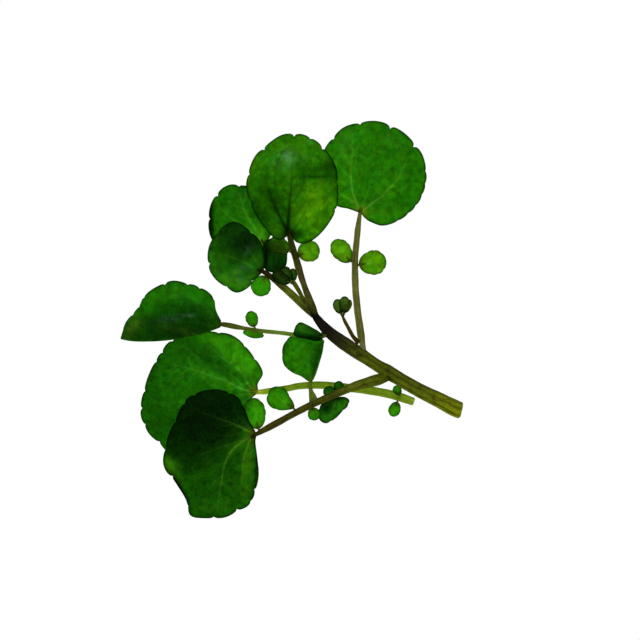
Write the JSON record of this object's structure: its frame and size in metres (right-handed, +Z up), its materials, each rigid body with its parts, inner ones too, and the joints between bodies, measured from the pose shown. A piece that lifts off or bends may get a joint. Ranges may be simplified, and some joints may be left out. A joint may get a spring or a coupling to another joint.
{
  "type": "watercress sprig",
  "caption": "Cut watercress sprig lying flat: a stout hollow stem with compound leaves of broad, rounded, shallowly notched leaflets, some domed, folded or curled.",
  "frame": {"origin": "under the middle of the sprig's bounding box, on the surface that it lies on", "axes": "+Z up, away from the surface; +Y along the sprig's longest side, from the front leaf to the right and top leaves; +X towards the stem's cut end"},
  "size_m": [0.0855, 0.0992, 0.0092],
  "materials": {
    "leaf": "satin",
    "young_leaf": "satin",
    "stem": "satin",
    "stalk": "satin",
    "pale_stalk": "satin"
  },
  "bodies": {
    "root": {"back_leaf_blade": "leaf", "back_leaf_stalk": "stalk", "cupped_leaf_blade": "leaf", "cupped_leaf_lower_leaflet": "leaf", "cupped_leaf_stalk": "stalk", "cupped_leaf_upper_leaflet": "leaf", "folded_leaf_base_leaflet": "leaf", "folded_leaf_blade": "leaf", "folded_leaf_lower_leaflet": "leaf", "folded_leaf_stalk": "stalk", "folded_leaf_upper_leaflet": "leaf", "front_leaf_blade": "leaf", "front_leaf_curled_lower_leaflet": "young_leaf", "front_leaf_curled_side_leaflet": "young_leaf", "front_leaf_curled_upper_leaflet": "young_leaf", "front_leaf_large_leaflet": "leaf", "front_leaf_large_leaflet_stalk": "stalk", "front_leaf_middle_leaflet": "leaf", "front_leaf_outer_leaflet": "leaf", "front_leaf_small_leaflet": "leaf", "front_leaf_stalk": "stalk", "loose_leaf_blade": "leaf", "loose_leaf_lower_leaflet": "leaf", "loose_leaf_stalk": "pale_stalk", "loose_leaf_upper_leaflet": "leaf", "main_stem": "stem", "right_leaf_blade": "leaf", "right_leaf_left_leaflet": "leaf", "right_leaf_right_leaflet": "leaf", "right_leaf_stalk": "stalk", "shoot_tip_left_leaf": "young_leaf", "shoot_tip_middle_leaf": "young_leaf", "shoot_tip_right_leaf": "young_leaf", "shoot_tip_stalk": "stalk", "side_shoot_left_leaf": "young_leaf", "side_shoot_middle_leaf": "young_leaf", "side_shoot_right_leaf": "young_leaf", "side_shoot_stalk": "stalk", "top_leaf_blade": "leaf", "top_leaf_left_leaflet": "leaf", "top_leaf_right_leaflet": "leaf", "top_leaf_stalk": "stalk"}
  },
  "joints": []
}
